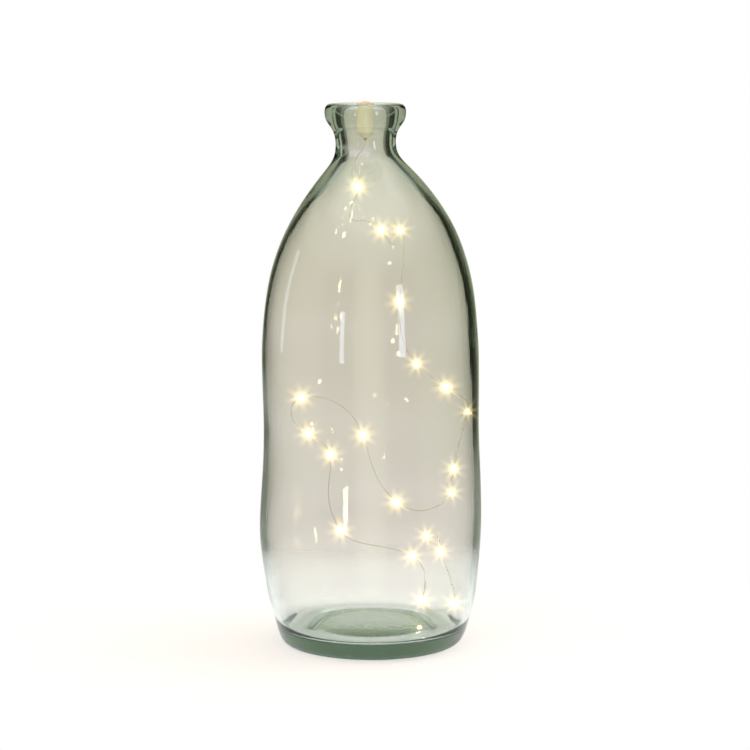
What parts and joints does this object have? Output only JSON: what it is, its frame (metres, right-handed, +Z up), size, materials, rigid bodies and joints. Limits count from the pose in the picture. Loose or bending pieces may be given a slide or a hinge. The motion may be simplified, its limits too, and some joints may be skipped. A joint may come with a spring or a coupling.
{
  "type": "cork bottle light",
  "caption": "Clear glass bottle lit from inside by a string of small lights that hangs from a slim cork-topped battery stick held by a clear plug in its mouth.",
  "frame": {"origin": "middle of the bottle's foot, on the surface it stands on", "axes": "+Z up through the mouth; -Y faces the viewer; the neck leans a little to -X"},
  "size_m": [0.1452, 0.1452, 0.3516],
  "materials": {
    "glass": "clear blown soda-lime glass with a faint sage tint",
    "plug": "clear soft silicone",
    "tube": "moulded cream plastic",
    "gland": "soft beige rubber",
    "brass": "stamped thin sheet",
    "spring_steel": "stamped thin spring sheet",
    "cell": "nickel-plated cell cans",
    "cork": "pressed cork with fine grain",
    "button": "moulded dark plastic",
    "board": "green solder mask",
    "resistor": "ceramic chip",
    "wire": "twisted pair of enamelled silver wires",
    "resin": "clear resin drop over each light",
    "led": "lit warm white chip"
  },
  "bodies": {
    "bottle": {"bottle": "glass"},
    "stopper": {"stopper_plug": "plug", "battery_tube": "tube", "return_strip": "brass", "wire_gland": "gland", "spring_leaf": "spring_steel", "button_cell_1": "cell", "button_cell_2": "cell", "button_cell_3": "cell", "string_wire": "wire", "led_drop_01": "resin", "led_drop_02": "resin", "led_drop_03": "resin", "led_drop_04": "resin", "led_drop_05": "resin", "led_drop_06": "resin", "led_drop_07": "resin", "led_drop_08": "resin", "led_drop_09": "resin", "led_drop_10": "resin", "led_drop_11": "resin", "led_drop_12": "resin", "led_drop_13": "resin", "led_drop_14": "resin", "led_drop_15": "resin", "led_drop_16": "resin", "led_drop_17": "resin", "led_drop_18": "resin", "led_drop_19": "resin", "led_drop_20": "resin", "led_chips": "led"},
    "cap": {"cork_cap": "cork", "switch_board": "board", "snap_dome": "spring_steel", "chip_resistor": "resistor", "centre_contact": "brass", "outer_contact": "brass"},
    "button": {"switch_button": "button"}
  },
  "joints": [
    {"name": "stopper_lift", "type": "slide", "parent": "bottle", "child": "stopper", "axis": [0, 0, 1], "range_m": [0, 0.018]},
    {"name": "cap_pull", "type": "slide", "parent": "stopper", "child": "cap", "axis": [0, 0, 1], "range_m": [0, 0.012]},
    {"name": "button_press", "type": "slide", "parent": "cap", "child": "button", "axis": [0, 0, -1], "range_m": [0, 0.0005], "stiffness_N_per_m": 400}
  ]
}
